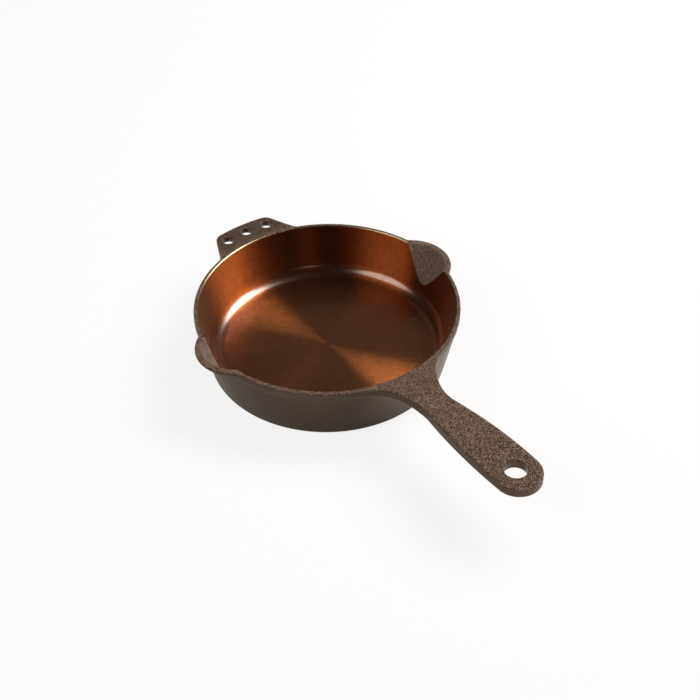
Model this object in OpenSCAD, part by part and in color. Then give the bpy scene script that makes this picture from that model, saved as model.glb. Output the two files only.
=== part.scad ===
// Small cast-iron skillet with a long handle, a three-hole helper tab and two pour spouts.
// The origin is the centre of the resting face, +Z is up and the handle runs along +X.
// The real pan is one casting. Each node below is one named region of it, and neighbours
// meet face to face.

/* [Bowl] */
// Outer diameter of the rim
rim_d = 190; // [170:1:260]
// Width of the rim's top, from its outer edge in to the mouth
rim_w = 3.1; // [2.5:0.1:5]
// Height of the rim's top above the resting face
pan_h = 45.5; // [40:0.5:70]
// How far the wall leans in, from the mouth to the edge of the flat cooking floor
wall_lean = 16.9; // [14:0.1:22]
// Thickness of the floor
floor_t = 6.5; // [4:0.1:8]
// Radius of the corner between the cooking floor and the wall
inner_corner_r = 11; // [8:0.5:13]
// How far the outer wall stands outside the cooking floor's edge, at the resting face
base_step = 10.75; // [8:0.25:14]
// Radius of the corner between the outer wall and the resting face
base_corner_r = 2.5; // [1:0.1:4]

/* [Rim] */
// Height of the band round the rim
rim_h = 5.2; // [4:0.1:8]
// How far the band stands proud of the wall below it
rim_overhang = 0.6; // [0.2:0.1:1.2]
// Bevel along the band's outer top edge
rim_bevel = 1.2; // [0.3:0.1:1.6]

/* [Pour spouts] */
// How far a spout's lip reaches past the rim
spout_reach = 10.4; // [7:0.2:13]
// Radius of a spout's lip, seen from above
spout_lip_r = 28.7; // [24:0.1:32]
// Width of the lip's top face at its tip
spout_lip_w = 4.1; // [3:0.1:6]
// Height of the lip's edge
spout_lip_h = 3; // [2:0.1:5]
// How far the lip stands proud of the spout's shell below it
spout_lip_overhang = 2; // [0.5:0.1:2.5]
// How far down the wall a spout's scoop starts
scoop_depth = 25; // [18:0.5:26]

/* [Helper tab] */
// How far the tab reaches past the rim
tab_reach = 20.5; // [18:0.5:28]
// Width across the tab's outer corners
tab_w = 49.6; // [46:0.2:60]
// Thickness of the tab
tab_t = 5.2; // [4:0.1:8]
// Radius of the tab's outer corners
tab_corner_r = 7; // [4:0.5:9]
// Angle by which each side of the tab spreads towards the rim
tab_side_angle = 24; // [10:1:30]
// Radius where each side of the tab runs into the rim
tab_root_r = 5.5; // [3:0.5:8]
// Diameter of the tab's holes
tab_hole_d = 8.4; // [6:0.1:11]
// Distance between the tab's holes, along their arc
tab_hole_pitch = 17.1; // [14:0.1:18]
// Distance from the tab's outer edge to the middle of its holes
tab_hole_inset = 9.6; // [8.5:0.1:10.5]
// Bevel round the mouth of each hole of the tab
tab_hole_bevel = 0.5; // [0.2:0.1:0.8]

/* [Handle] */
// Length of the handle, from the rim to its tip
handle_len = 127; // [110:1:170]
// Width of the handle at its widest
handle_w = 32.6; // [30:0.2:36]
// Distance from the tip to the widest place
handle_widest_inset = 30; // [24:1:34]
// Radius of the long curve of each side
handle_side_r = 370; // [340:10:600]
// Radius where each side sweeps out into the rim
handle_root_r = 40; // [34:1:42]
// Thickness of the handle
handle_t = 7.6; // [6:0.1:10]
// Depth of the dip in the handle's top, below the rim
handle_dip = 1.9; // [0:0.1:4]
// Distance from the rim to the deepest place of the dip
handle_dip_out = 28; // [24:1:34]
// Height of the handle's tip above the rim
handle_rise = 1.6; // [0:0.1:6]
// Diameter of the hang hole
hang_hole_d = 15; // [12:0.2:18]
// Distance from the tip to the middle of the hang hole
hang_hole_inset = 18.4; // [15:0.1:20]
// Bevel round the hang hole's two mouths
hang_hole_bevel = 1.2; // [0.2:0.1:1.5]

/* [Hidden] */
$fn = 96;

// Colours: the turned inside is bronze, the rest is dark seasoned iron
turned_colour = [0.42, 0.24, 0.13];
wall_colour = [0.27, 0.24, 0.21];
cast_colour = [0.30, 0.25, 0.22];

// How far a cut runs past what it cuts
overrun = rim_h;

// Bowl
rim_r = rim_d / 2;
mouth_r = rim_r - rim_w;
floor_r = mouth_r - wall_lean;
base_r = floor_r + base_step;
band_z = pan_h - rim_h;
wall_top_r = rim_r - rim_overhang;

// Inner wall: straight from the mouth, tangent to the corner's arc
corner_z = floor_t + inner_corner_r;
mouth_up = pan_h - corner_z;
wall_angle = acos(inner_corner_r / norm([wall_lean, mouth_up])) - atan2(mouth_up, wall_lean);

// Outer wall: straight from under the band to the resting face, with its corner rounded
outer_angle = atan2(wall_top_r - base_r, band_z);
corner_setback = base_corner_r * tan((90 - outer_angle) / 2);
base_flat_r = base_r - corner_setback;

// Spouts
spout_y = rim_r + spout_reach - spout_lip_r;
scoop_r = spout_lip_r - spout_lip_w;
scoop_start_r = mouth_r - scoop_depth * tan(wall_angle);
scoop_slope = (spout_y + scoop_r - scoop_start_r) / scoop_depth;
scoop_h = scoop_depth + overrun;
lip_z = pan_h - spout_lip_h;
shell_r = spout_lip_r - spout_lip_overhang;
shell_h = overrun + (spout_y + shell_r - wall_top_r) / (scoop_slope - tan(outer_angle));

// Helper tab: the corner's centre, the side's direction and outward normal, and its root
tab_r = rim_r + tab_reach;
tab_corner_y = tab_w / 2 - tab_corner_r;
tab_corner_x = sqrt(pow(tab_r - tab_corner_r, 2) - pow(tab_corner_y, 2));
tab_corner_c = [tab_corner_x, tab_corner_y];
tab_side_dir = [-cos(tab_side_angle), sin(tab_side_angle)];
tab_side_out = [sin(tab_side_angle), cos(tab_side_angle)];
tab_root_from = tab_corner_c + (tab_corner_r + tab_root_r) * tab_side_out;
tab_root_along = tab_root_from * tab_side_dir;
tab_root_gap = tab_root_from * tab_root_from - pow(rim_r + tab_root_r, 2);
tab_root_step = -tab_root_along - sqrt(pow(tab_root_along, 2) - tab_root_gap);
tab_root_c = tab_root_from + tab_root_step * tab_side_dir;
tab_hole_r = tab_r - tab_hole_inset;
tab_hole_step = tab_hole_pitch / tab_hole_r * 180 / PI;
tab_holes = [-1, 0, 1];

// Handle: the widest place, the centre of the long side arc, the tip's arc and the root's arc
tip_x = rim_r + handle_len;
widest_x = tip_x - handle_widest_inset;
side_drop = handle_side_r - handle_w / 2;
side_c = [widest_x, -side_drop];
tip_r = (pow(handle_side_r, 2) - pow(side_drop, 2) - pow(handle_widest_inset, 2))
    / (2 * (handle_side_r - handle_widest_inset));
tip_c = [tip_x - tip_r, 0];
root_c = circles_meet(rim_r + handle_root_r, side_c, handle_side_r + handle_root_r);
hang_hole_x = tip_x - hang_hole_inset;
dip_x = rim_r + handle_dip_out;
root_x = root_c[0] * rim_r / (rim_r + handle_root_r);
side_steps = 24;

// Direction of a vector, in degrees
function heading(v) = atan2(v[1], v[0]);

// Points of an arc from one direction to another
function arc(c, r, from, to, steps = 12) =
    [for (i = [0 : steps]) c + r * [cos(from + (to - from) * i / steps), sin(from + (to - from) * i / steps)]];

// The upper point at distance a from the origin and at distance b from the point c
function circles_meet(a, c, b) =
    let (d = norm(c), along = (a * a - b * b + d * d) / (2 * d), aside = sqrt(a * a - along * along))
    (along * c + aside * [-c[1], c[0]]) / d;

// The points of an upper outline and of its mirror image below, as one closed ring
function both_sides(upper) =
    concat(upper, [for (i = [len(upper) - 1 : -1 : 0]) [upper[i][0], -upper[i][1]]]);

// Rises smoothly from 0 to 1 as t goes from 0 to 1
function ease(t) = (1 - cos(180 * min(max(t, 0), 1))) / 2;

// Height of the handle's top face at x: flush with the rim, down into the dip, up to the tip
function handle_top(x) = x < dip_x
    ? pan_h - handle_dip * ease((x - rim_r) / (dip_x - rim_r))
    : pan_h - handle_dip + (handle_dip + handle_rise) * sin(90 * (x - dip_x) / (tip_x - dip_x));

// Thickness of the handle at x: the band's height at the rim, full from the dip on
function handle_depth(x) = rim_h + (handle_t - rim_h) * ease((x - root_x) / (dip_x - root_x));

// Half of the inside's cross-section, from the floor's edge up the corner and the wall
function inside_edge() =
    concat(arc([floor_r, corner_z], inner_corner_r, -90, -wall_angle), [[mouth_r, pan_h]]);

// A disc that ends at the rim's top, with its top edge bevelled
module top_disc(r, h) {
    translate([0, 0, pan_h - h]) cylinder(h = h - rim_bevel, r = r);
    translate([0, 0, pan_h - rim_bevel]) cylinder(h = rim_bevel, r1 = r, r2 = r - rim_bevel);
}

// Everything inside the outer wall and the band, used to trim what joins them from outside
module bowl_envelope() {
    cylinder(h = band_z, r1 = base_r, r2 = wall_top_r);
    top_disc(rim_r, rim_h);
}

// The cone that a spout's scoop is cut with
module scoop(side) {
    translate([0, side * spout_y, pan_h - scoop_h])
        cylinder(h = scoop_h + overrun,
            r1 = scoop_r - scoop_h * scoop_slope,
            r2 = scoop_r + overrun * scoop_slope);
}

// A cone that bevels the mouth of a hole of diameter d in a face at height 0. A bevel below 0
// is for a face that looks down
module bevel_cone(d, bevel) {
    mirror([0, 0, bevel < 0 ? 1 : 0]) translate([0, 0, -abs(bevel)])
        cylinder(h = 2 * abs(bevel), d1 = d, d2 = d + 4 * abs(bevel));
}

module pan_floor() {
    color(turned_colour) cylinder(h = floor_t, r = floor_r);
}

module pan_wall() {
    outside = concat([[wall_top_r, band_z]],
        arc([base_flat_r, base_corner_r], base_corner_r, -outer_angle, -90, 6),
        [[floor_r, 0]]);
    inside = [for (p = inside_edge()) if (p[1] < band_z) p];
    wall_line = [[mouth_r - rim_h * tan(wall_angle), band_z]];
    color(wall_colour) difference() {
        rotate_extrude() polygon(concat(inside, wall_line, outside));
        for (side = [-1, 1]) scoop(side);
    }
}

module rim() {
    color(cast_colour) difference() {
        union() {
            top_disc(rim_r, rim_h);
            for (side = [-1, 1]) translate([0, side * spout_y, 0]) top_disc(spout_lip_r, spout_lip_h);
        }
        translate([0, 0, band_z - overrun])
            cylinder(h = rim_h + 2 * overrun,
                r1 = mouth_r - (rim_h + overrun) * tan(wall_angle),
                r2 = mouth_r + overrun * tan(wall_angle));
        for (side = [-1, 1]) scoop(side);
    }
}

// The shell of a spout under its lip, outside the wall
module spout(side) {
    color(cast_colour) difference() {
        translate([0, side * spout_y, lip_z - shell_h])
            cylinder(h = shell_h, r1 = shell_r - shell_h * scoop_slope, r2 = shell_r);
        bowl_envelope();
        scoop(side);
    }
}

module spout_left() {
    spout(-1);
}

module spout_right() {
    spout(1);
}

module helper_tab() {
    upper = concat(
        arc([0, 0], tab_r, 0, heading(tab_corner_c)),
        arc(tab_corner_c, tab_corner_r, heading(tab_corner_c), heading(tab_side_out)),
        arc(tab_root_c, tab_root_r, heading(-tab_side_out), heading(-tab_root_c)));
    color(cast_colour) difference() {
        translate([0, 0, pan_h - tab_t]) mirror([1, 0, 0]) linear_extrude(tab_t) polygon(both_sides(upper));
        bowl_envelope();
        for (i = tab_holes) rotate(180 + i * tab_hole_step) translate([tab_hole_r, 0, 0]) {
            cylinder(h = pan_h + overrun, d = tab_hole_d);
            translate([0, 0, pan_h]) bevel_cone(tab_hole_d, tab_hole_bevel);
            translate([0, 0, pan_h - tab_t]) bevel_cone(tab_hole_d, -tab_hole_bevel);
        }
    }
}

module handle() {
    upper = concat(
        arc(tip_c, tip_r, 0, heading(tip_c - side_c)),
        arc(side_c, handle_side_r, heading(tip_c - side_c), heading(root_c - side_c), side_steps),
        arc(root_c, handle_root_r, heading(side_c - root_c), heading(-root_c), side_steps));
    xs = [for (i = [0 : side_steps]) root_x + (tip_x - root_x) * i / side_steps];
    profile = concat(
        [for (x = xs) [x, handle_top(x)]],
        [for (i = [side_steps : -1 : 0]) [xs[i], handle_top(xs[i]) - handle_depth(xs[i])]]);
    color(cast_colour) difference() {
        intersection() {
            linear_extrude(2 * pan_h) polygon(both_sides(upper));
            translate([0, handle_w, 0]) rotate([90, 0, 0]) linear_extrude(2 * handle_w) polygon(profile);
        }
        bowl_envelope();
        translate([hang_hole_x, 0, 0]) {
            cylinder(h = 2 * pan_h, d = hang_hole_d);
            translate([0, 0, handle_top(hang_hole_x)]) bevel_cone(hang_hole_d, hang_hole_bevel);
            translate([0, 0, handle_top(hang_hole_x) - handle_t]) bevel_cone(hang_hole_d, -hang_hole_bevel);
        }
    }
}

pan_floor();
pan_wall();
rim();
spout_left();
spout_right();
helper_tab();
handle();
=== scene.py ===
"""A small cast-iron skillet: turned bronze inside, pebbled outside, long handle, helper tab, two spouts."""

import math
from types import SimpleNamespace

import bmesh
import bpy
from mathutils import Matrix, Vector
from mathutils.geometry import delaunay_2d_cdt


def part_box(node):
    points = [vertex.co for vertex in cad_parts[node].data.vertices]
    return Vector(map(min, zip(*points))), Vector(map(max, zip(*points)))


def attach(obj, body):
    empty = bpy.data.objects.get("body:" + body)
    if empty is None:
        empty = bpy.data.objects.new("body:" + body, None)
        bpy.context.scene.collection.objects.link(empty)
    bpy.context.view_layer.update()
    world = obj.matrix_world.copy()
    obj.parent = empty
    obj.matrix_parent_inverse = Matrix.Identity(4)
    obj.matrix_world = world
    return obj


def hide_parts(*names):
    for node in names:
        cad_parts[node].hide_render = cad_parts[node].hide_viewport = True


bl_info = {
    "name": "Cast-iron Skillet",
    "version": (1, 0, 0),
    "blender": (4, 5, 0),
    "location": "View3D > Sidebar > Skillet",
    "description": "Builds a cast-iron skillet with a turned inside, a long handle, a tab and two spouts",
    "category": "Add Mesh",
}

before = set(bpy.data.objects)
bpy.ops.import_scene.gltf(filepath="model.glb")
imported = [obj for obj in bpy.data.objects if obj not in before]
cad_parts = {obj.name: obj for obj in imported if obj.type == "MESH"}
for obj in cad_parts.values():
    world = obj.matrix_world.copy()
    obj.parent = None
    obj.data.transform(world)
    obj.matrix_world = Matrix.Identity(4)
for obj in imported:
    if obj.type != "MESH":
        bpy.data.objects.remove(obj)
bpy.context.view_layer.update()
MM = 0.001


def cad(node, corner, axis):
    """How far a CAD node's lowest (0) or highest (1) corner lies from the origin on an axis, in mm."""
    return round(abs(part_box(node)[corner]["xyz".index(axis)]) / MM, 2)


# Sizes and colours that a user would change

def length(name, description, millimetres):
    return bpy.props.FloatProperty(
        name=name, description=description, default=millimetres * MM, min=0, unit="LENGTH", precision=4)


def angle(name, description, degrees):
    return bpy.props.FloatProperty(
        name=name, description=description, default=math.radians(degrees), subtype="ANGLE")


def colour(name, description, default):
    return bpy.props.FloatVectorProperty(
        name=name, description=description, default=default, size=3, min=0, max=1, subtype="COLOR")


def factor(name, description, default):
    return bpy.props.FloatProperty(
        name=name, description=description, default=default, min=0, max=1, subtype="FACTOR")


class BowlSizes(bpy.types.PropertyGroup):
    rim_r: length("Rim radius", "Outer radius of the rim", cad("rim", 1, "x"))
    pan_h: length("Height", "Height of the rim's top", cad("rim", 1, "z"))
    band_z: length("Band bottom", "Height of the lower edge of the band round the rim", cad("rim", 0, "z"))
    rim_w: length("Rim width", "Width of the rim's top, in to the mouth", 3.1)
    floor_r: length("Floor radius", "Radius of the flat cooking floor", cad("pan_floor", 1, "x"))
    floor_t: length("Floor thickness", "Thickness of the floor", cad("pan_floor", 1, "z"))
    corner_r: length("Inner corner", "Radius between the cooking floor and the wall", 11)
    base_step: length("Base step", "How far the wall's foot stands outside the floor", 10.75)
    base_corner_r: length("Base corner", "Radius between the outer wall and the resting face", 2.5)
    overhang: length("Band overhang", "How far the band stands proud of the wall", 0.6)
    band_blend: length("Band blend", "Height over which the wall swells into the band", 1.1)
    edge_r: length("Rim edge", "Rounding of the rim's outer top edge", 1.3)
    chamfer: length("Mouth chamfer", "Bright turned chamfer round the mouth", 0.5)


class SpoutSizes(bpy.types.PropertyGroup):
    tip_y: length("Lip reach", "Distance from the pan's axis to a lip's tip", cad("rim", 1, "y"))
    lip_r: length("Lip radius", "Radius of a lip, seen from above", 28.7)
    lip_w: length("Lip width", "Width of a lip's top face at its tip", 4.1)
    lip_h: length("Lip height", "Height of a lip's edge", 3)
    overhang: length("Lip overhang", "How far a lip stands proud of its shell", 2)
    scoop_depth: length("Scoop depth", "How far down the wall a scoop starts", 25)
    root_r: length("Lip root", "Radius where a lip runs into the rim", 4)
    inner_edge_r: length("Scoop edge", "Rounding between the scoop and the lip's top", 0.9)
    lower_edge_r: length("Lower lip edge", "Rounding of a lip's lower edge", 0.9)
    blend: length("Shell blend", "Width over which a shell runs into the wall", 4)


class TabSizes(bpy.types.PropertyGroup):
    reach_x: length("Tab reach", "Distance from the axis to the tab's outer edge", cad("helper_tab", 0, "x"))
    width: length("Tab width", "Width across the tab's outer corners", 49.6)
    thickness: length("Tab thickness", "Thickness of the tab", 5.2)
    corner_r: length("Tab corner", "Radius of the tab's outer corners", 7)
    side_angle: angle("Side angle", "How far each side spreads towards the rim", 24)
    root_r: length("Tab root", "Radius where each side runs into the rim", 5.5)
    edge_r: length("Tab edge", "Rounding of the tab's edges", 1.5)
    hole_d: length("Hole diameter", "Diameter of the tab's holes", 8.4)
    hole_pitch: length("Hole pitch", "Distance between the holes, along their arc", 17.1)
    hole_inset: length("Hole inset", "Distance from the outer edge to the holes' middles", 9.6)
    hole_edge_r: length("Hole edge", "Rounding of the holes' mouths", 0.9)
    hole_count: bpy.props.IntProperty(name="Holes", description="Number of holes", default=3, min=1, max=5)


class HandleSizes(bpy.types.PropertyGroup):
    tip_x: length("Handle reach", "Distance from the pan's axis to the handle's tip", cad("handle", 1, "x"))
    tip_z: length("Tip height", "Height of the handle's top at its tip", cad("handle", 1, "z"))
    width: length("Handle width", "Width of the handle at its widest", 32.6)
    widest_inset: length("Widest inset", "Distance from the tip to the widest place", 30)
    side_r: length("Side radius", "Radius of the long curve of each side", 370)
    root_r: length("Root radius", "Radius where each side sweeps out into the rim", 40)
    thickness: length("Handle thickness", "Thickness of the handle", 7.6)
    dip: length("Dip", "Depth of the dip in the handle's top, below the rim", 1.9)
    dip_out: length("Dip distance", "Distance from the rim to the deepest place of the dip", 28)
    hole_d: length("Hang hole diameter", "Diameter of the hang hole", 15)
    hole_inset: length("Hang hole inset", "Distance from the tip to the hang hole's middle", 18.4)
    hole_edge_r: length("Hang hole edge", "Rounding of the hang hole's mouths", 1.3)
    edge_r: length("Handle edge", "Rounding of the handle's edges", 1.3)
    tip_edge_r: length("Tip edge", "Rounding of the edges at the tip", 1.8)


class Finish(bpy.types.PropertyGroup):
    bronze: colour("Bronze", "Colour of the turned, seasoned wall", (0.27, 0.064, 0.011))
    floor_bronze: colour("Floor bronze", "Colour of the turned, seasoned floor", (0.24, 0.074, 0.018))
    mouth: colour("Mouth chamfer", "Colour of the bright chamfer round the mouth", (0.38, 0.31, 0.20))
    iron: colour("Iron", "Colour of the seasoned cast skin", (0.026, 0.015, 0.009))
    # Painted grey sheen on the scoops' skin, strongest on the grains
    scoop_sheen_grey: colour("Scoop sheen grey", "Colour that the skin of the scoops turns to", (0.42, 0.36, 0.36))
    # Light grain colour: partly the cast skin's own pebbles, partly painted glints on faces that look up
    iron_grain_and_glints: colour("Iron grain", "Colour of the cast skin's raised grains", (0.34, 0.242, 0.195))
    floor: colour("Floor", "Colour of the studio floor", (0.85, 0.85, 0.85))
    floor_roughness: factor("Floor roughness", "Roughness of the turned floor", 0.20)
    wall_roughness: factor("Wall roughness", "Roughness of the turned wall", 0.35)
    iron_roughness: factor("Iron roughness", "Roughness of the cast skin", 0.30)


# Plane geometry, with angles in degrees

def cosd(a):
    return math.cos(math.radians(a))


def sind(a):
    return math.sin(math.radians(a))


def heading(p):
    return math.degrees(math.atan2(p[1], p[0]))


def polar(r, a, centre=(0, 0)):
    return Vector((centre[0] + r * cosd(a), centre[1] + r * sind(a)))


def clamp(t):
    return min(max(t, 0), 1)


def ease(t):
    """Rises smoothly from 0 to 1 as t goes from 0 to 1."""
    return (1 - math.cos(math.pi * clamp(t))) / 2


def smooth_max(a, b, k):
    """The larger of a and b, with the crease between them rounded over the width k."""
    h = max(k - abs(a - b), 0) / k
    return max(a, b) + h * h * k / 4


def solve(f, low, high):
    """Where f crosses zero between low, where it is negative, and high."""
    for _ in range(HALVINGS):
        middle = (low + high) / 2
        if f(middle) < 0:
            low = middle
        else:
            high = middle
    return high


HALVINGS = 50


def between(a, b, share):
    return a + (b - a) * share


def steps(start, end, count):
    """count + 1 values from start to end."""
    return [between(start, end, i / count) for i in range(count + 1)]


def turned(a):
    """An azimuth in degrees, brought between -180 and 180."""
    return (a + 180) % 360 - 180


# The bowl: its profile, its scoops and its spouts' shells

def bowl_shape(scene):
    """The bowl's and the spouts' sizes, with what follows from them."""
    b, p = scene.skillet_bowl, scene.skillet_spout
    s = SimpleNamespace(b=b, p=p)
    s.mouth_r = b.rim_r - b.rim_w
    s.base_r = b.floor_r + b.base_step
    s.wall_top_r = b.rim_r - b.overhang
    s.corner_z = b.floor_t + b.corner_r
    lean, up = s.mouth_r - b.floor_r, b.pan_h - s.corner_z
    s.wall_angle = math.degrees(math.acos(b.corner_r / math.hypot(lean, up)) - math.atan2(up, lean))
    s.outer_angle = math.degrees(math.atan2(s.wall_top_r - s.base_r, b.band_z))
    s.base_flat_r = s.base_r - b.base_corner_r * math.tan(math.radians((90 - s.outer_angle) / 2))
    s.spout_y = p.tip_y - p.lip_r
    s.scoop_r = p.lip_r - p.lip_w
    s.shell_r = p.lip_r - p.overhang
    s.seam_r = (s.mouth_r + b.chamfer + b.rim_r - b.edge_r) / 2
    s.lip_z = b.pan_h - p.lip_h
    scoop_start_r = s.mouth_r - p.scoop_depth * math.tan(math.radians(s.wall_angle))
    s.scoop_slope = (s.spout_y + s.scoop_r - scoop_start_r) / p.scoop_depth
    s.scoop_az = circles_cross(s.mouth_r, s.scoop_r, s.spout_y)
    s.root_az = circles_cross(b.rim_r + p.root_r, p.lip_r + p.root_r, s.spout_y)
    root_c = Vector((sind(s.root_az), cosd(s.root_az))) * (b.rim_r + p.root_r)
    s.root_c = root_c
    lip_end = Vector((0, s.spout_y)).lerp(root_c, p.lip_r / (p.lip_r + p.root_r))
    s.lip_end_az = math.degrees(math.atan2(lip_end.x, lip_end.y))
    return s


def circles_cross(r, other_r, distance):
    """Azimuth from the second circle's direction at which a circle round the origin meets it."""
    return math.degrees(math.acos((r * r + distance * distance - other_r * other_r) / (2 * r * distance)))


def off_spout(a):
    """Degrees between an azimuth and the nearest spout's middle."""
    return abs(abs(turned(a)) - 90)


def ray_to_circle(distance, r, off):
    """How far out a ray leaves a circle of radius r whose centre is at that distance, off degrees aside."""
    return distance * cosd(off) + math.sqrt(max(r * r - (distance * sind(off)) ** 2, 0))


def inner_r(s, z):
    """Radius of the turned inner wall at height z, above the corner's arc."""
    return s.mouth_r - (s.b.pan_h - z) * math.tan(math.radians(s.wall_angle))


def cone_r(s, z):
    """Radius of the outer wall at height z, without the band."""
    return between(s.base_r, s.wall_top_r, z / s.b.band_z)


def outer_r(s, z):
    """Radius of the outer wall at height z, which swells into the band."""
    return between(cone_r(s, z), s.b.rim_r, ease((z - s.b.band_z) / s.b.band_blend / 2 + 0.5))


def scoop_r_at(s, off, z):
    return ray_to_circle(s.spout_y, s.scoop_r - (s.b.pan_h - z) * s.scoop_slope, off)


def shell_r_at(s, off, z):
    r = s.shell_r - (s.lip_z - z) * s.scoop_slope
    if r <= s.spout_y * sind(off):
        return 0
    return ray_to_circle(s.spout_y, r, off)


def scoop_border_z(s, off):
    """Height at which the scoop cuts the turned wall, or the rim's top where it doesn't."""
    if off >= s.scoop_az:
        return s.b.pan_h
    reach = max(s.spout_y * sind(off), 0)
    lowest = max(s.b.pan_h - (s.scoop_r - reach) / s.scoop_slope, s.corner_z)
    return solve(lambda z: scoop_r_at(s, off, z) - inner_r(s, z), lowest, s.b.pan_h)


def scoop_exit_z(s, off, top):
    """Height at which the scoop passes out through the outer wall, or top where it stays inside."""
    if off >= s.scoop_az or scoop_r_at(s, off, top) <= cone_r(s, top):
        return top
    low = scoop_border_z(s, off)
    return solve(lambda z: scoop_r_at(s, off, z) - cone_r(s, z), low, top)


def lip_outer_r(s, off):
    """Radius of the rim's outline near a spout: the rim, the root's arc or the lip."""
    if off >= s.root_az:
        return s.b.rim_r
    if off <= s.lip_end_az:
        return ray_to_circle(s.spout_y, s.p.lip_r, off)
    across = s.root_c.length * sind(s.root_az - off)
    return s.root_c.length * cosd(s.root_az - off) - math.sqrt(s.p.root_r ** 2 - across ** 2)


def azimuths(s, plates):
    """Azimuths of the columns round the bowl, closer at the spouts, with one at each change of outline."""
    fixed = []
    for middle in (-90, 90):
        for off in (s.scoop_az, s.root_az, s.lip_end_az):
            fixed += [middle - off, middle + off]
    for middle, half in plates:
        fixed += [turned(middle - half), turned(middle + half)]
    spread = [a / 4 for a in range(-720, 720) if a % 4 == 0 or off_spout(a / 4) < NEAR_SPOUT]
    free = [a for a in spread if all(abs(turned(a - f)) > CLEAR_OF_FIXED for f in fixed)]
    return sorted(free + fixed)


NEAR_SPOUT = 20
CLEAR_OF_FIXED = 0.12


# Meshes

def finish_piece(name, bm, mats):
    """A closed mesh as an object: doubles merged, normals outwards, creases and material borders sharp."""
    bmesh.ops.remove_doubles(bm, verts=bm.verts, dist=WELD)
    bmesh.ops.dissolve_degenerate(bm, edges=bm.edges, dist=WELD)
    bmesh.ops.recalc_face_normals(bm, faces=bm.faces)
    for face in bm.faces:
        face.smooth = True
    for edge in bm.edges:
        two = edge.link_faces
        if len(two) != 2:
            raise RuntimeError(f"{name} is open at {edge.verts[0].co[:]}")
        border = two[0].material_index != two[1].material_index
        edge.smooth = not border and edge.calc_face_angle(math.pi) < CREASE
    mesh = bpy.data.meshes.new(name)
    bm.to_mesh(mesh)
    bm.free()
    for mat in mats:
        mesh.materials.append(mat)
    piece = bpy.data.objects.new(name, mesh)
    bpy.context.scene.collection.objects.link(piece)
    place(piece)
    return piece


def place(piece):
    """The piece rides on the one body and stands for the CAD node whose name it begins with."""
    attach(piece, "root")
    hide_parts(piece.name.removesuffix("_cast"))


WELD = 2e-6
CREASE = math.radians(38)
TURNED, CAST, CHAMFER = 0, 1, 2


# Sections of the bowl at one azimuth: (r, z, material of the strip that starts there)

def wall_section(s, a, in_spout):
    b, off = s.b, off_spout(a)
    top = scoop_exit_z(s, off, s.lip_z) if in_spout else b.band_z
    border = min(scoop_border_z(s, off), top)
    side_r = cone_r if in_spout else outer_r
    arc = [polar(b.corner_r, t, (b.floor_r, s.corner_z)) for t in steps(-90, -s.wall_angle, CORNER_ROWS)]
    section = [(b.floor_r, 0, CAST)]
    section += [(p.x, p.y, TURNED) for p in arc]
    turned_zs = steps(arc[-1].y, min(border, b.band_z), TURNED_ROWS)[1:]
    section += [(inner_r(s, z), z, TURNED) for z in turned_zs]
    section.append((inner_r(s, border), border, CAST))
    for z in steps(border, top, SCOOP_ROWS)[1:]:
        scoop_r = scoop_r_at(s, off, z) if off < s.scoop_az else 0
        section.append((max(scoop_r, inner_r(s, z)), z, CAST))
    foot_z = b.base_corner_r * (1 - sind(s.outer_angle))
    outer_zs = [top] + steps(min(top, b.band_z), foot_z, OUTER_ROWS)
    section += [(side_r(s, z), z, CAST) for z in outer_zs]
    foot_c = (s.base_flat_r, b.base_corner_r)
    foot = [polar(b.base_corner_r, t, foot_c) for t in steps(-s.outer_angle, -90, FOOT_ROWS)[1:]]
    return section + [(p.x, p.y, CAST) for p in foot]


CORNER_ROWS = 30
TURNED_ROWS = 10
SCOOP_ROWS = 14
OUTER_ROWS = 30
FOOT_ROWS = 8


def bezier(p, q, r, count):
    """Points of the curve that leaves p towards q and arrives at r from q."""
    return [p.lerp(q, t).lerp(q.lerp(r, t), t) for t in steps(0, 1, count)]


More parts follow.
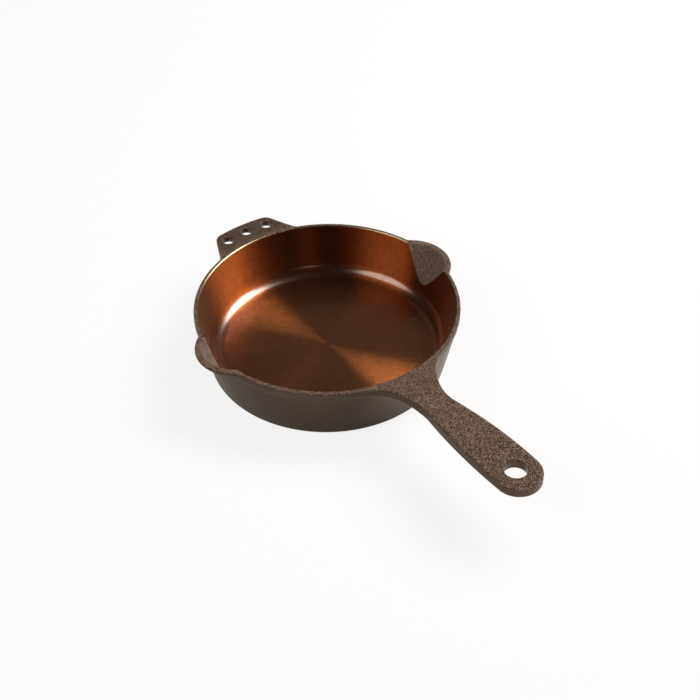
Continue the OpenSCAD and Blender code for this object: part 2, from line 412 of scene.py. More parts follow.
def rim_section(s, a, on_plate, in_spout):
    b, p, off = s.b, s.p, off_spout(a)
    bottom = s.lip_z if in_spout else b.band_z
    border = scoop_border_z(s, off)
    chamfer = b.chamfer if off > s.scoop_az + SMALL_ANGLE else 0
    if border > bottom:
        wall_zs = [bottom] + steps(s.lip_z, min(border, b.pan_h - chamfer), RIM_TURNED_ROWS)
        section = [(inner_r(s, z), z, TURNED) for z in wall_zs]
    else:
        section = [(scoop_r_at(s, off, bottom), bottom, TURNED)] * (RIM_TURNED_ROWS + 2)
    if border < b.pan_h:
        start = max(border, bottom)
        edge = min(p.inner_edge_r, (b.pan_h - start) * EDGE_SHARE)
        edge_z = b.pan_h - edge
        section += [(scoop_r_at(s, off, z), z, CAST) for z in steps(start, edge_z, RIM_SCOOP_ROWS)]
        knee_r = scoop_r_at(s, off, b.pan_h)
        knee = [Vector((scoop_r_at(s, off, edge_z), edge_z)),
                Vector((knee_r, b.pan_h)), Vector((knee_r + edge, b.pan_h))]
        section += [(q.x, q.y, CAST) for q in bezier(*knee, KNEE_ROWS)]
        top_in = knee_r + edge
    else:
        section += [(*section[-1][:2], CAST)] * (RIM_SCOOP_ROWS + KNEE_ROWS + 2)
        top_in = s.mouth_r + chamfer
    section[-1] = (*section[-1][:2], CHAMFER)
    outline = lip_outer_r(s, off) if in_spout else b.rim_r
    edge = 0 if on_plate else b.edge_r
    edge_z = b.pan_h - edge
    top_out = s.seam_r if on_plate else outline - edge
    section += [(r, b.pan_h, CAST) for r in steps(top_in, top_out, RIM_TOP_ROWS)]
    section += [(top_out + edge * sind(t), edge_z + edge * cosd(t), CAST)
                for t in steps(0, 90, RIM_EDGE_ROWS)]
    if in_spout and not on_plate:
        proud = outline - spout_outer_r(s, off, s.lip_z)
        lower = min(p.lower_edge_r, proud * EDGE_SHARE)
        section += [(outline, z, CAST) for z in steps(edge_z, bottom + lower, LIP_SIDE_ROWS)]
        return section + [(outline - lower + lower * cosd(t), bottom + lower - lower * sind(t), CAST)
                          for t in steps(LIP_UNDER_START, 90, LIP_UNDER_ROWS)]
    side_zs = steps(edge_z, bottom, LIP_SIDE_ROWS + LIP_UNDER_ROWS + 1)
    return section + [(s.seam_r if on_plate else outer_r(s, z), z, CAST) for z in side_zs]


RIM_TURNED_ROWS = 3
RIM_SCOOP_ROWS = 5
KNEE_ROWS = 6
RIM_TOP_ROWS = 2
RIM_EDGE_ROWS = 8
LIP_SIDE_ROWS = 8
LIP_UNDER_ROWS = 5
LIP_UNDER_START = 15
EDGE_SHARE = 0.6
SMALL_ANGLE = 0.01


def spout_outer_r(s, off, z):
    return smooth_max(outer_r(s, z), shell_r_at(s, off, z), s.p.blend)


def spout_section(s, a):
    off = off_spout(a)
    band_start = s.b.band_z - s.b.band_blend
    foot = solve(lambda z: shell_r_at(s, off, z) - cone_r(s, z) + s.p.blend, 0, band_start)
    leave = scoop_exit_z(s, off, s.lip_z)
    section = [(cone_r(s, z), z) for z in steps(foot, leave, SPOUT_ROWS)]
    if leave < s.lip_z:
        section += [(scoop_r_at(s, off, z), z) for z in steps(leave, s.lip_z, SPOUT_ROWS)[1:]]
    else:
        section += [section[-1]] * SPOUT_ROWS
    section += [(spout_outer_r(s, off, z), z) for z in steps(s.lip_z, foot, SHELL_ROWS)[:-1]]
    return [(r, z, CAST) for r, z in section]


SPOUT_ROWS = 8
SHELL_ROWS = 36


def columns_round(azimuth_list, section_at, state_at):
    """One column per azimuth, and two where the state of the stretches on its two sides differs."""
    columns = []
    count = len(azimuth_list)
    for i, a in enumerate(azimuth_list):
        before = turned(a - (a - azimuth_list[i - 1]) % 360 / 2)
        after = turned(a + (azimuth_list[(i + 1) % count] - a) % 360 / 2)
        states = [state_at(before), state_at(after)]
        for state in states if states[0] != states[1] else states[:1]:
            columns.append((a, section_at(a, *state)))
    return columns


def grid_piece(name, mats, columns, closed=True):
    """A closed piece from columns that go all the way round, or from one side of a spout to the other."""
    rows, count = len(columns[0][1]), len(columns)
    bm = bmesh.new()
    made = [[bm.verts.new((*polar(r, a), z)) for r, z, _ in section] for a, section in columns]
    for i in range(count if closed else count - 1):
        here, there = made[i], made[(i + 1) % count]
        for k in range(rows):
            m = (k + 1) % rows
            face = bm.faces.new((here[k], there[k], there[m], here[m]))
            face.material_index = columns[0][1][k][2]
    if not closed:
        for column in (made[0], made[-1]):
            bm.faces.new(column).material_index = CAST
    return finish_piece(name, bm, mats)


# Flat plates: the helper tab and the handle

def ring_points(station, top, bottom):
    """The edge of a plate at one station of its outline, from the top face round to the bottom face."""
    point, normal, top_edge, low_edge = station

    def rounding(r, height, down):
        places = [(point - normal * r * (1 - sind(t)), t) for t in steps(0, 90, EDGE_STEPS)]
        return [(*q, height(q) - down * r * (1 - cosd(t))) for q, t in places]

    upper, lower = rounding(top_edge, top, 1), rounding(low_edge, bottom, -1)
    high, low = Vector(upper[-1]), Vector(lower[-1])
    side = [tuple(high.lerp(low, share)) for share in steps(0, 1, SIDE_STEPS)[1:-1]]
    return upper + side + lower[::-1]


def inside(q, loops):
    """Whether a point lies inside the first loop and outside the others."""
    crossings = 0
    for loop in loops:
        for i, p in enumerate(loop):
            n = loop[i - 1]
            if (p[1] > q[1]) != (n[1] > q[1]):
                if q[0] < p[0] + (q[1] - p[1]) / (n[1] - p[1]) * (n[0] - p[0]):
                    crossings += 1
    return crossings % 2 == 1


def sheet(loops, height):
    """Triangles between loops of plane points, with free points inside, lifted to a height."""
    verts, edges = [], []
    for loop in loops:
        start = len(verts)
        verts += [Vector(p) for p in loop]
        edges += [(start + i, start + (i + 1) % len(loop)) for i in range(len(loop))]
    rows = math.sqrt(3) / 2 * SHEET_SPACING
    xs, ys = [v.x for v in verts], [v.y for v in verts]
    border = list(verts)
    for j in range(int((max(ys) - min(ys)) / rows) + 1):
        for i in range(int((max(xs) - min(xs)) / SHEET_SPACING) + 2):
            q = Vector((min(xs) + (i + j % 2 / 2) * SHEET_SPACING, min(ys) + (j + 0.5) * rows))
            if inside(q, loops) and min((q - v).length for v in border) > NEAR_SHARE * SHEET_SPACING:
                verts.append(q)
    points, _, faces, *_ = delaunay_2d_cdt(verts, edges, [], 0, SAME_POINT)
    kept = []
    for face in faces:
        middle = sum((points[i] for i in face), Vector((0, 0))) / len(face)
        if inside(middle, loops):
            kept.append(face)
    return [(p.x, p.y, height(p)) for p in points], kept


def plate_mesh(bm, stations, holes, linings, top, bottom):
    """Adds a plate to bm: its edge round the stations, its holes' linings and its two faces."""
    edge_loops = [[ring_points(st, top, bottom) for st in stations]]
    hole_loops = [[ring_points(st, top, bottom) for st in hole] for hole in holes]
    for loop in edge_loops + (hole_loops if linings else []):
        made = [[bm.verts.new(p) for p in ring] for ring in loop]
        for i, ring in enumerate(made):
            previous = made[i - 1]
            for k in range(len(ring) - 1):
                bm.faces.new((previous[k], ring[k], ring[k + 1], previous[k + 1]))
    for row, height in ((0, top), (-1, bottom)):
        loops = [distinct([Vector(ring[row][:2]) for ring in loop]) for loop in edge_loops + hole_loops]
        points, faces = sheet(loops, height)
        made = [bm.verts.new(p) for p in points]
        for face in faces:
            bm.faces.new([made[i] for i in face])


def distinct(loop):
    """A loop of points without repeats of the point before."""
    return [p for i, p in enumerate(loop) if (p - loop[i - 1]).length > WELD]


EDGE_STEPS = 6
SIDE_STEPS = 3
SHEET_SPACING = 3 * MM
NEAR_SHARE = 0.62
SAME_POINT = 1e-8


def seam_stations(s, azimuth_list, middle, half):
    """The stretch of a plate's outline that lies in the rim, from its first side to its second."""
    inner = [a for a in azimuth_list if abs(turned(a - middle)) < half + SAME_AZIMUTH]
    inner.sort(key=lambda a: turned(a - middle))
    return [(polar(s.seam_r, a), Vector((0, 0)), 0, 0) for a in inner]


def hole_stations(centre, r, edge):
    """Stations round a hole, whose edge faces its middle."""
    outwards = [polar(1, 360 * i / HOLE_COLUMNS) for i in range(HOLE_COLUMNS)]
    return [(centre + r * out, -out, edge, edge) for out in outwards]


def arc_stations(centre, r, start, end, count, edges, outwards=1):
    """Stations along an arc between two directions; outwards is -1 where the plate lies outside it."""
    stations = []
    for a in steps(heading(start), heading(end), count):
        point = polar(r, a, centre)
        stations.append((point, outwards * polar(1, a), *edges(point)))
    return stations


SAME_AZIMUTH = 0.001
HOLE_COLUMNS = 64


def mirrored(stations):
    """The same stations on the other side of the X axis, in reverse order."""
    flip = Vector((1, -1))
    return [(p * flip, n * flip, e, low) for p, n, e, low in reversed(stations)]


def handle_shape(scene, s):
    """The handle's outline: the widest place, the long side arc, the tip's arc and the root's arc."""
    h = scene.skillet_handle
    w = SimpleNamespace(h=h)
    drop = h.side_r - h.width / 2
    w.side_c = Vector((h.tip_x - h.widest_inset, -drop))
    w.tip_r = (h.side_r ** 2 - drop ** 2 - h.widest_inset ** 2) / (2 * (h.side_r - h.widest_inset))
    w.tip_c = Vector((h.tip_x - w.tip_r, 0))
    near, far, d = s.b.rim_r + h.root_r, h.side_r + h.root_r, w.side_c.length
    along = (near ** 2 - far ** 2 + d * d) / (2 * d)
    aside = math.sqrt(near ** 2 - along ** 2)
    w.root_c = (along * w.side_c + aside * Vector((-w.side_c.y, w.side_c.x))) / d
    w.half_az = heading(w.root_c)
    w.dip_x = s.b.rim_r + h.dip_out
    w.root_x = w.root_c.x * s.b.rim_r / near
    w.rim_h = s.b.pan_h - s.b.band_z
    w.rise = h.tip_z - s.b.pan_h
    w.hole_c = Vector((h.tip_x - h.hole_inset, 0))
    return w


def handle_top(s, w, x):
    h = w.h
    if x < w.dip_x:
        return s.b.pan_h - h.dip * ease((x - s.b.rim_r) / h.dip_out)
    share = min((x - w.dip_x) / (h.tip_x - w.dip_x), 1)
    return s.b.pan_h - h.dip + (h.dip + w.rise) * math.sin(math.pi / 2 * share)


def handle_depth(w, x):
    return between(w.rim_h, w.h.thickness, ease((x - w.root_x) / (w.dip_x - w.root_x)))


def handle_stations(s, w, azimuth_list):
    h = w.h

    def edges(p):
        low_share = between(HANDLE_ROOT_SHARE, 1, ease((p.x - w.root_x) / h.dip_out))
        return between(h.edge_r, h.tip_edge_r, ease((p.x - w.hole_c.x) / w.tip_r)), h.edge_r * low_share

    upper = arc_stations(w.root_c, h.root_r, -w.root_c, w.side_c - w.root_c, HANDLE_COLUMNS, edges, -1)
    upper += arc_stations(w.side_c, h.side_r, w.root_c - w.side_c, w.tip_c - w.side_c,
                          HANDLE_COLUMNS, edges)[1:]
    upper += arc_stations(w.tip_c, w.tip_r, w.tip_c - w.side_c, (1, 0), HANDLE_COLUMNS, edges)[1:]
    return seam_stations(s, azimuth_list, 0, w.half_az) + upper + mirrored(upper)[1:]


# How much of an edge's rounding is left on a plate's underside at its root, and columns along each arc
HANDLE_ROOT_SHARE, HANDLE_COLUMNS = 0.25, 40
TAB_ROOT_SHARE, TAB_COLUMNS, TAB_SIDE_COLUMNS = 0.2, 16, 6


def tab_shape(scene, s):
    """The tab's outline, drawn along +X and turned to -X when it is built."""
    t = scene.skillet_tab
    w = SimpleNamespace(t=t)
    corner_y = t.width / 2 - t.corner_r
    w.corner_c = Vector((math.sqrt((t.reach_x - t.corner_r) ** 2 - corner_y ** 2), corner_y))
    lean = math.degrees(t.side_angle)
    w.side_dir, w.side_out = Vector((-cosd(lean), sind(lean))), Vector((sind(lean), cosd(lean)))
    start = w.corner_c + (t.corner_r + t.root_r) * w.side_out
    along = start.dot(w.side_dir)
    gap = start.dot(start) - (s.b.rim_r + t.root_r) ** 2
    w.root_c = start + (-along - math.sqrt(along ** 2 - gap)) * w.side_dir
    w.half_az = heading(w.root_c)
    w.hole_r = t.reach_x - t.hole_inset
    w.hole_step = math.degrees(t.hole_pitch / w.hole_r)
    return w


def tab_stations(s, w, azimuth_list):
    t = w.t

    def edges(p):
        share = ease((p.length - s.b.rim_r) / t.root_r)
        return between(s.b.edge_r, t.edge_r, share), t.edge_r * between(TAB_ROOT_SHARE, 1, share)

    upper = arc_stations(w.root_c, t.root_r, -w.root_c, -w.side_out, TAB_COLUMNS, edges, -1)
    side_end = w.corner_c + t.corner_r * w.side_out
    side = [upper[-1][0].lerp(side_end, share) for share in steps(0, 1, TAB_SIDE_COLUMNS)[1:-1]]
    upper += [(p, w.side_out, *edges(p)) for p in side]
    upper += arc_stations(w.corner_c, t.corner_r, w.side_out, w.corner_c, TAB_COLUMNS, edges)
    upper += arc_stations(Vector((0, 0)), t.reach_x, w.corner_c, (1, 0), TAB_COLUMNS, edges)[1:]
    turn = Matrix.Rotation(math.pi, 2)
    outer = [(turn @ p, turn @ n, e, low) for p, n, e, low in upper + mirrored(upper)[1:]]
    return seam_stations(s, azimuth_list, 180, w.half_az) + outer


# Node trees

class Field:
    """What a node's output carries. Arithmetic on it adds Math nodes to its tree."""

    def __init__(self, socket):
        self.socket = socket
        self.tree = socket.id_data

    def calc(self, operation, *others):
        return add(self.tree, "ShaderNodeMath", dict(enumerate((self, *others))), operation=operation)[0]

    def __add__(self, other):
        return self.calc("ADD", other)

    def __sub__(self, other):
        return self.calc("SUBTRACT", other)

    def __rsub__(self, other):
        return self.calc("MULTIPLY_ADD", -1, other)

    def __mul__(self, other):
        return self.calc("MULTIPLY", other)

    def __truediv__(self, other):
        return self.calc("DIVIDE", other)

    def remap(self, low, high, to_low=0.0, to_high=1.0):
        return add(self.tree, "ShaderNodeMapRange", {
            "Value": self, "From Min": low, "From Max": high, "To Min": to_low, "To Max": to_high})[0]

    def vector_calc(self, operation, *others):
        return add(self.tree, "ShaderNodeVectorMath", dict(enumerate((self, *others))), operation=operation)

    def split(self):
        """The X, Y and Z of a vector."""
        parts = add(self.tree, "ShaderNodeSeparateXYZ", {0: self})
        return parts[0], parts[1], parts[2]


def outputs(node):
    """A node's outputs as fields, by number and by name."""
    return {key: Field(socket) for i, socket in enumerate(node.outputs) for key in (i, socket.name)}


def set_inputs(node, inputs):
    """Sets a node's inputs to values, or links them to fields."""
    for name, value in inputs.items():
        if isinstance(value, Field):
            node.id_data.links.new(value.socket, node.inputs[name])
        else:
            node.inputs[name].default_value = value


def add(tree, kind, inputs=None, **settings):
    """The outputs of a new node with these settings and inputs."""
    node = tree.nodes.new(kind)
    for name, value in settings.items():
        setattr(node, name, value)
    set_inputs(node, inputs or {})
    return outputs(node)


def joined(x, y, z=0):
    return add(x.tree, "ShaderNodeCombineXYZ", {"X": x, "Y": y, "Z": z})[0]


def place_round(radius, turn, z=0):
    """The place at a radius from the axis, an angle in radians and a height."""
    return joined(radius * turn.calc("COSINE"), radius * turn.calc("SINE"), z)


def new_tree(name, kind, inputs, results):
    """A node group with sockets of the kinds given, the fields it is given, and its output node."""
    tree = bpy.data.node_groups.new(name, kind)
    for in_out, sockets in (("INPUT", inputs), ("OUTPUT", results)):
        for label, socket in sockets.items():
            tree.interface.new_socket(label, in_out=in_out, socket_type="NodeSocket" + socket)
    return tree, add(tree, "NodeGroupInput"), tree.nodes.new("NodeGroupOutput")


def grown(tree, values):
    """The mesh that a geometry tree makes with these values for its named inputs."""
    host = bpy.data.objects.new(tree.name, bpy.data.meshes.new(tree.name))
    bpy.context.scene.collection.objects.link(host)
    modifier = host.modifiers.new(tree.name, "NODES")
    modifier.node_group = tree
    for item in tree.interface.items_tree:
        if item.in_out == "INPUT" and item.name in values:
            modifier[item.identifier] = values[item.name]
    graph = bpy.context.evaluated_depsgraph_get()
    mesh = bpy.data.meshes.new_from_object(host.evaluated_get(graph))
    host.modifiers.remove(modifier)
    bpy.data.objects.remove(host)
    return mesh


def lathe_grid(half_rows, columns):
    """A grid for a profile that runs out and back in the same way.

    With it come each point's number from the profile's nearer end, whether the point is in the
    profile's first half, and its angle round the axis.
    """
    rows = half_rows * 2 + 2
    last = rows - 1
    grid = add(rows.tree, "GeometryNodeMeshGrid", {
        "Size X": last, "Size Y": columns, "Vertices X": rows, "Vertices Y": columns + 1})
    across, along, _ = add(rows.tree, "GeometryNodeInputPosition")[0].split()
    number = (across + last / 2).calc("ROUND")
    from_end = number.calc("MINIMUM", last - number)
    return grid["Mesh"], from_end, number.calc("LESS_THAN", last / 2), along / columns * math.tau


def lathe(mesh, turn, radius, height):
    """The grid's points moved to their radius and height, as a closed shell round the axis."""
    spot = place_round(radius, turn, height)
    moved = add(mesh.tree, "GeometryNodeSetPosition", {"Geometry": mesh, "Position": spot})[0]
    return add(mesh.tree, "GeometryNodeMergeByDistance", {"Geometry": moved, "Distance": WELD})[0]


def coated(geometry, material, selection=True):
    """The geometry with its instances made real, and a material on its selected faces."""
    real = add(geometry.tree, "GeometryNodeRealizeInstances", {"Geometry": geometry})[0]
    return add(geometry.tree, "GeometryNodeSetMaterial", {
        "Geometry": real, "Selection": selection, "Material": material})[0]


def turned_disc_tree():
    """A round plate: its profile runs from the middle out over the top, and back in under it."""
    tree, given, out = new_tree("Turned disc", "GeometryNodeTree", {
        "Radius": "Float", "Thickness": "Float", "Rings": "Int", "Columns": "Int",
        "Top": "Material", "Underside": "Material",
    }, {"Geometry": "Geometry"})
    mesh, ring, on_top, turn = lathe_grid(given["Rings"], given["Columns"])
    shell = lathe(mesh, turn, given["Radius"] * ring / given["Rings"], given["Thickness"] * on_top)
    height = add(tree, "GeometryNodeInputPosition")[0].split()[2]
    is_top = height.calc("GREATER_THAN", given["Thickness"] * TOP_SHARE)
    set_inputs(out, {"Geometry": coated(coated(shell, given["Underside"]), given["Top"], is_top)})
    return tree


TOP_SHARE = 0.99


def hole_linings_tree():
    """Round hole linings with rounded mouths, on points along an arc round the pan's axis."""
    tree, given, out = new_tree("Hole linings", "GeometryNodeTree", {
        "Hole radius": "Float", "Edge radius": "Float", "Edge steps": "Int", "Columns": "Int",
        "Top": "Float", "Thickness": "Float", "Arc radius": "Float", "Arc middle": "Float",
        "Arc step": "Float", "Holes": "Int", "Material": "Material",
    }, {"Geometry": "Geometry"})
    mesh, from_mouth, upper, turn = lathe_grid(given["Edge steps"], given["Columns"])
    bend = from_mouth / given["Edge steps"] * (math.pi / 2)
    flare = given["Edge radius"] * (1 - bend.calc("SINE"))
    drop = given["Edge radius"] * (1 - bend.calc("COSINE"))
    half = given["Thickness"] / 2
    height = given["Top"] - half + (upper * 2 - 1) * (half - drop)
    lining = lathe(mesh, turn, given["Hole radius"] + flare, height)
    centred = add(tree, "GeometryNodeInputIndex")[0] - (given["Holes"] - 1) / 2
    spot = place_round(given["Arc radius"], given["Arc middle"] + centred * given["Arc step"])
    points = add(tree, "GeometryNodePoints", {"Count": given["Holes"], "Position": spot})[0]
    copies = add(tree, "GeometryNodeInstanceOnPoints", {"Points": points, "Instance": lining})[0]
    set_inputs(out, {"Geometry": coated(copies, given["Material"])})
    return tree


# Materials

def principled(name):
    """A new material, its tree and its Principled BSDF."""
    material = bpy.data.materials.new(name)
    material.use_nodes = True
    tree = material.node_tree
    return material, tree, tree.nodes["Principled BSDF"]


def coordinate(tree, kind):
    return add(tree, "ShaderNodeTexCoord")[kind]


def noise(vector, scale, detail=3, roughness=0.5):
    return add(vector.tree, "ShaderNodeTexNoise", {
        "Vector": vector, "Scale": scale, "Detail": detail, "Roughness": roughness})["Fac"]


def mix(share, first, second):
    """A colour between two colours, which may be given as triples or fields."""
    tree = next(value.tree for value in (share, first, second) if isinstance(value, Field))
    first, second = (c if isinstance(c, Field) else (*c, 1) for c in (first, second))
    return add(tree, "ShaderNodeMix", {0: share, 6: first, 7: second}, data_type="RGBA")[2]


def shaded(tint, value):
    return add(tint.tree, "ShaderNodeHueSaturation", {"Value": value, "Color": tint})[0]


def bump(height, distance, strength):
    return add(height.tree, "ShaderNodeBump", {
        "Height": height, "Distance": distance, "Strength": strength})[0]


def cast_grain_group():
    """The cast skin's pebbles: a mask of raised grains and a height, stronger on faces that look up. The
    mask is partly the skin's own lighter pebbles and partly painted glints, laid on faces that look up to
    the lamps.
    """
    tree, given, out = new_tree("Cast grain", "ShaderNodeTree", {
        "Vector": "Vector", "Scale": "Float", "Side share": "Float",
    }, {"Grain and painted glints": "Float", "Height": "Float", "Patches": "Float"})
    fine = noise(given["Vector"], given["Scale"], 2, 0.6)
    coarse = noise(given["Vector"], given["Scale"] * COARSE_SCALE, 2, 0.5)
    both = fine * (1 - COARSE_SHARE) + coarse * COARSE_SHARE
    # Lightening the grains more on faces that look up paints glints of the light from above; the bump
    # follows the same mask
    facing_up = coordinate(tree, "Normal").split()[2].remap(0.05, 0.40)
    strength = (facing_up + given["Side share"]).calc("MINIMUM", 1)
    set_inputs(out, {
        "Grain and painted glints": both.remap(0.46, 0.63) * strength,
        "Height": both * strength,
        "Patches": noise(given["Vector"], 28, 3, 0.6)})
    return tree


def cast_material(name, finish):
    """Seasoned skin as cast: light grains on dark iron, partly painted glints, fewer on the tab, with a
    painted grey sheen in the scoops.
    """
    material, tree, shader = principled(name)
    spot = coordinate(tree, "Object")
    pebbles = {"Vector": spot, "Scale": GRAIN_SCALE, "Side share": SIDE_SHARE}
    group = add(tree, "ShaderNodeGroup", pebbles, node_tree=cast_grain_group())
    # Light grains over dark iron: partly the skin's own pebbles, partly painted glints
    grain_and_glints = group["Grain and painted glints"]
    less_on_the_tab = spot.split()[0].remap(*TAB_FADE_X, 0.4, 1)
    base = mix(grain_and_glints * less_on_the_tab, finish.iron, finish.iron_grain_and_glints)
    # A painted grey sheen on the scoops, stronger on the grains
    with_scoop_sheen = mix(painted_scoop_sheen(spot) * grain_and_glints.remap(0, 1, 0.5, 1.6), base, finish.scoop_sheen_grey)
    rough = finish.iron_roughness
    set_inputs(shader, {
        "Base Color": shaded(with_scoop_sheen, group["Patches"].remap(0.3, 0.7, 0.88, 1.08)),
        "Roughness": grain_and_glints.remap(0, 1, rough + 0.03, rough - 0.06),
        "Specular IOR Level": 0.75,
        "Specular Tint": (1.0, 0.76, 0.58, 1),
        "Normal": bump(group["Height"], 0.0022, 1)})
    return material


def painted_scoop_sheen(spot):
    """The share of painted grey sheen in the cast skin: only the scoops' skin looks in towards the pan's
    axis.
    """
    x, y, _ = spot.split()
    outwards = joined(x, y).vector_calc("NORMALIZE")[0]
    looks_out = outwards.vector_calc("DOT_PRODUCT", coordinate(spot.tree, "Normal"))["Value"]
    return looks_out.remap(-0.5, -0.2, SCOOP_SHEEN_SHARE, 0)


# How coarse the cast pebbles are, how much of their light grains and painted glints shows where, and how
# much painted sheen the scoops get
GRAIN_SCALE = 1150
COARSE_SCALE = 0.42
COARSE_SHARE = 0.25
SIDE_SHARE = 0.04
TAB_FADE_X = (-0.098, -0.088)
SCOOP_SHEEN_SHARE = 0.35


def turned_material(name, finish):
    """Bronze-coloured seasoning over lathe marks, which run round the pan's axis."""
    material, tree, shader = principled(name)
    spot = coordinate(tree, "Object")
    x, y, z = spot.split()
    round_the_axis = joined(y * -1, x)
    from_axis = round_the_axis.vector_calc("LENGTH")["Value"]
    bronze = mix(z.remap(*FLOOR_TO_WALL_Z, 1, 0), finish.bronze, finish.floor_bronze)
    clouded = mix(noise(spot, *CLOUDS).remap(0.3, 0.7), mix(0.25, bronze, (0, 0, 0)), bronze)
    rings = noise(joined(from_axis, z), *RINGS).remap(0.3, 0.7, 0.86, 1.14)
    mottle = noise(spot, *MOTTLE).remap(0.3, 0.7, 0.82, 1.18)
    specks = noise(spot, *SPECKS).remap(0.66, 0.74, 0, 0.5)
    sparkle = noise(spot, *SPARKLE)
    rough = z.remap(*FLOOR_TO_WALL_Z, finish.floor_roughness, finish.wall_roughness)
    rough += from_axis.remap(*SMOOTH_MIDDLE_R, -0.065, 0)
    rough += from_axis.remap(*ROUGH_EDGE_R, 0, 0.05)
    coat = z.remap(*COAT_GROWS_Z, 0.15, 1) * z.remap(*COAT_FADES_Z, 1, 0.25)
    set_inputs(shader, {
        "Base Color": mix(specks, shaded(clouded, rings * mottle), [c * 0.2 for c in finish.bronze]),
        "Metallic": 1,
        "Roughness": rough + sparkle.remap(0.3, 0.7, -0.012, 0.012),
        "Normal": bump(sparkle, 0.0001, 0.03),
        "Tangent": round_the_axis,
        "Anisotropic": 1,
        "Anisotropic Rotation": 0.25,
        "Sheen Weight": 0.35,
        "Sheen Roughness": 0.4,
        "Sheen Tint": (1.0, 0.66, 0.46, 1),
        "Coat Weight": coat * noise(spot, *GLINTS).remap(0.4, 0.6, 0.6, 1),
        "Coat Roughness": 0.20,
        "Coat IOR": 2.15})
    return material


# Scale, detail and roughness of each noise in the turned finish
CLOUDS = (22, 4, 0.6)
RINGS = (1100, 3, 0.7)
MOTTLE = (260, 3, 0.7)
SPECKS = (420, 2, 0.6)
SPARKLE = (1300, 1, 0.5)
GLINTS = (900, 2, 0.6)
# Heights, and distances from the axis, between which the turned finish changes
FLOOR_TO_WALL_Z = (0.0062, 0.0085)
COAT_GROWS_Z = (0.0062, 0.0074)
COAT_FADES_Z = (0.012, 0.015)
SMOOTH_MIDDLE_R = (0.010, 0.035)
ROUGH_EDGE_R = (0.036, 0.066)


def chamfer_material(name, finish):
    """The bright turned edge of the mouth, slightly clouded."""
    material, tree, shader = principled(name)
    spot = coordinate(tree, "Object")
    clouds = noise(spot, 60).remap(0.35, 0.65)
    set_inputs(shader, {
        "Base Color": mix(clouds, finish.mouth, [c * 0.8 for c in finish.mouth]),
        "Metallic": 1,
        "Roughness": noise(spot, 700, 2).remap(0.3, 0.7, 0.22, 0.34)})
    return material


FINISHES = {
    "Turned bronze seasoning": turned_material,
    "Seasoned cast iron": cast_material,
    "Bright mouth chamfer": chamfer_material,
}


def materials(context):
    """The pan's three finishes, made once: turned, cast and chamfer."""
    finish = context.scene.skillet_finish
    return [bpy.data.materials.get(name) or make(name, finish) for name, make in FINISHES.items()]


# Operators, one for each piece or pair of pieces and one for the stage

def plan(context):
    """The sizes of the bowl, the tab and the handle, and the azimuths of the columns round the bowl."""
    s = bowl_shape(context.scene)
    tab, grip = tab_shape(context.scene, s), handle_shape(context.scene, s)
    plates = ((0, grip.half_az), (180, tab.half_az))
    return s, tab, grip, plates, azimuths(s, plates)


class SKILLET_OT_pan_floor(bpy.types.Operator):
    """Build the turned cooking floor with the resting face under it"""
    bl_idname = "skillet.pan_floor"
    bl_label = "Pan floor"

    def execute(self, context):
        b = context.scene.skillet_bowl
        turned_iron, cast_iron, _ = materials(context)
        mesh = grown(turned_disc_tree(), {
            "Radius": b.floor_r, "Thickness": b.floor_t, "Rings": DISC_RINGS, "Columns": DISC_COLUMNS,
            "Top": turned_iron, "Underside": cast_iron})
        bm = bmesh.new()
        bm.from_mesh(mesh)
        finishes = [bpy.data.materials[m.name] if m else cast_iron for m in mesh.materials]
        finish_piece("pan_floor_cast", bm, finishes)
        return {"FINISHED"}


DISC_RINGS = 30
DISC_COLUMNS = 360


class SKILLET_OT_pan_wall(bpy.types.Operator):
    """Build the wall, with its inner corner, its outer foot and the two scooped notches"""
    bl_idname = "skillet.pan_wall"
    bl_label = "Pan wall"

    def execute(self, context):
        s, *_, around = plan(context)
        columns = columns_round(around, lambda *at: wall_section(s, *at),
                                lambda a: (off_spout(a) < s.root_az,))
        grid_piece("pan_wall_cast", materials(context)[:2], columns)
        return {"FINISHED"}


class SKILLET_OT_rim(bpy.types.Operator):
    """Build the band round the mouth with the lips of both spouts"""
    bl_idname = "skillet.rim"
    bl_label = "Rim"

    def execute(self, context):
        s, _, _, plates, around = plan(context)

        def state(a):
            on_plate = any(abs(turned(a - middle)) < half for middle, half in plates)
            return on_plate, off_spout(a) < s.root_az

        columns = columns_round(around, lambda *at: rim_section(s, *at), state)
        grid_piece("rim_cast", materials(context), columns)
        return {"FINISHED"}


class SKILLET_OT_spouts(bpy.types.Operator):
    """Build the shells of the two pour spouts under their lips"""
    bl_idname = "skillet.spouts"
    bl_label = "Spouts"

    def execute(self, context):
        s, *_, around = plan(context)
        for name, middle in (("spout_left", -90), ("spout_right", 90)):
            near = [a for a in around if abs(a - middle) <= s.root_az + SAME_AZIMUTH]
            columns = [(a, spout_section(s, a)) for a in near]
            grid_piece(name + "_cast", materials(context)[:2], columns, closed=False)
        return {"FINISHED"}


class SKILLET_OT_helper_tab(bpy.types.Operator):
    """Build the helper tab with its three holes"""
    bl_idname = "skillet.helper_tab"
    bl_label = "Helper tab"

    def execute(self, context):
        s, tab, _, _, around = plan(context)
        t, iron = tab.t, materials(context)[CAST]
        linings = grown(hole_linings_tree(), {
            "Hole radius": t.hole_d / 2, "Edge radius": t.hole_edge_r, "Edge steps": EDGE_STEPS,
            "Columns": HOLE_COLUMNS, "Top": s.b.pan_h, "Thickness": t.thickness,
            "Arc radius": tab.hole_r, "Arc middle": math.pi, "Arc step": math.radians(tab.hole_step),
            "Holes": t.hole_count, "Material": iron})
        bm = bmesh.new()
        bm.from_mesh(linings)
        bearings = [180 + (i - (t.hole_count - 1) / 2) * tab.hole_step for i in range(t.hole_count)]
        holes = [hole_stations(polar(tab.hole_r, a), t.hole_d / 2, t.hole_edge_r) for a in bearings]
        plate_mesh(bm, tab_stations(s, tab, around), holes, False,
                   lambda q: s.b.pan_h, lambda q: s.b.pan_h - t.thickness)
        finish_piece("helper_tab_cast", bm, [iron])
        return {"FINISHED"}


